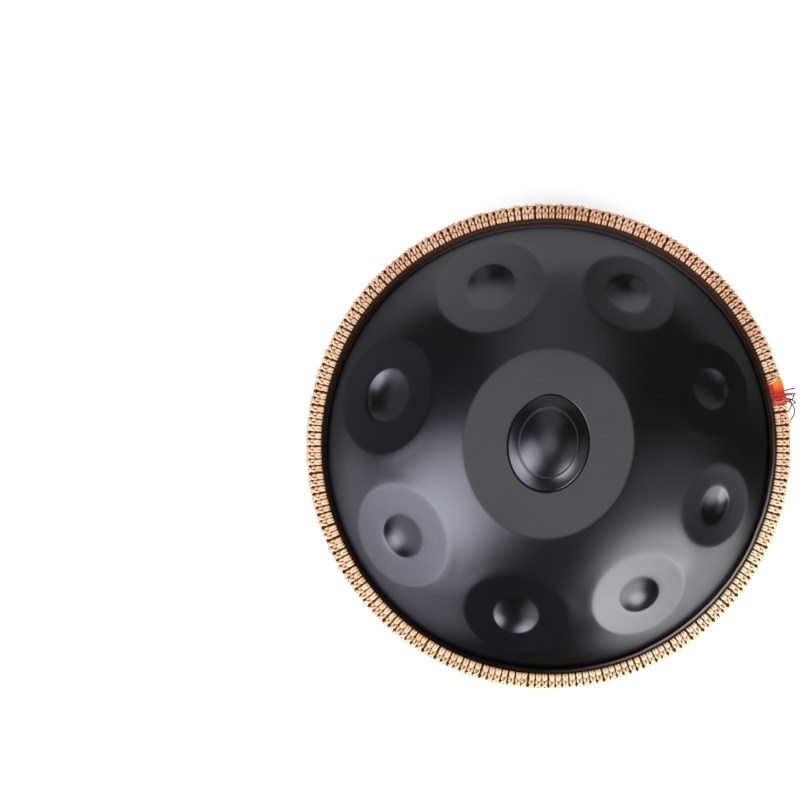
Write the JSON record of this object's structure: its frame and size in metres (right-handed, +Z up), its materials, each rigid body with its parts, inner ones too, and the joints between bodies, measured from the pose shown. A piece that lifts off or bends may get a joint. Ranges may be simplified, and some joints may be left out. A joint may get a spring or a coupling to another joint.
{
  "type": "handpan",
  "caption": "Handpan: two domed steel shells bonded at the rim, a raised centre note, a ring of dimpled tone fields, a bottom port and a laced rope rim.",
  "frame": {"origin": "on the instrument's axis, at the bottom of the lower shell, where it stands", "axes": "+Z up the axis towards the raised centre note; +X towards the side with the rope's splice"},
  "size_m": [0.5769, 0.57, 0.2349],
  "materials": {
    "shell_steel": "satin",
    "adhesive": "satin",
    "ring_cord": "matte",
    "rope": "matte",
    "ribbon": "satin",
    "red_thread": "matte"
  },
  "bodies": {
    "root": {"upper_shell": "shell_steel", "lower_shell": "shell_steel", "rim_adhesive": "adhesive", "upper_ring_cord": "ring_cord", "lower_ring_cord": "ring_cord", "rim_lacing": "rope", "splice_ribbon": "ribbon", "splice_whipping": "red_thread", "red_thread_1": "red_thread", "red_thread_2": "red_thread", "red_thread_3": "red_thread", "red_thread_4": "red_thread", "red_thread_5": "red_thread", "red_thread_6": "red_thread"}
  },
  "joints": []
}
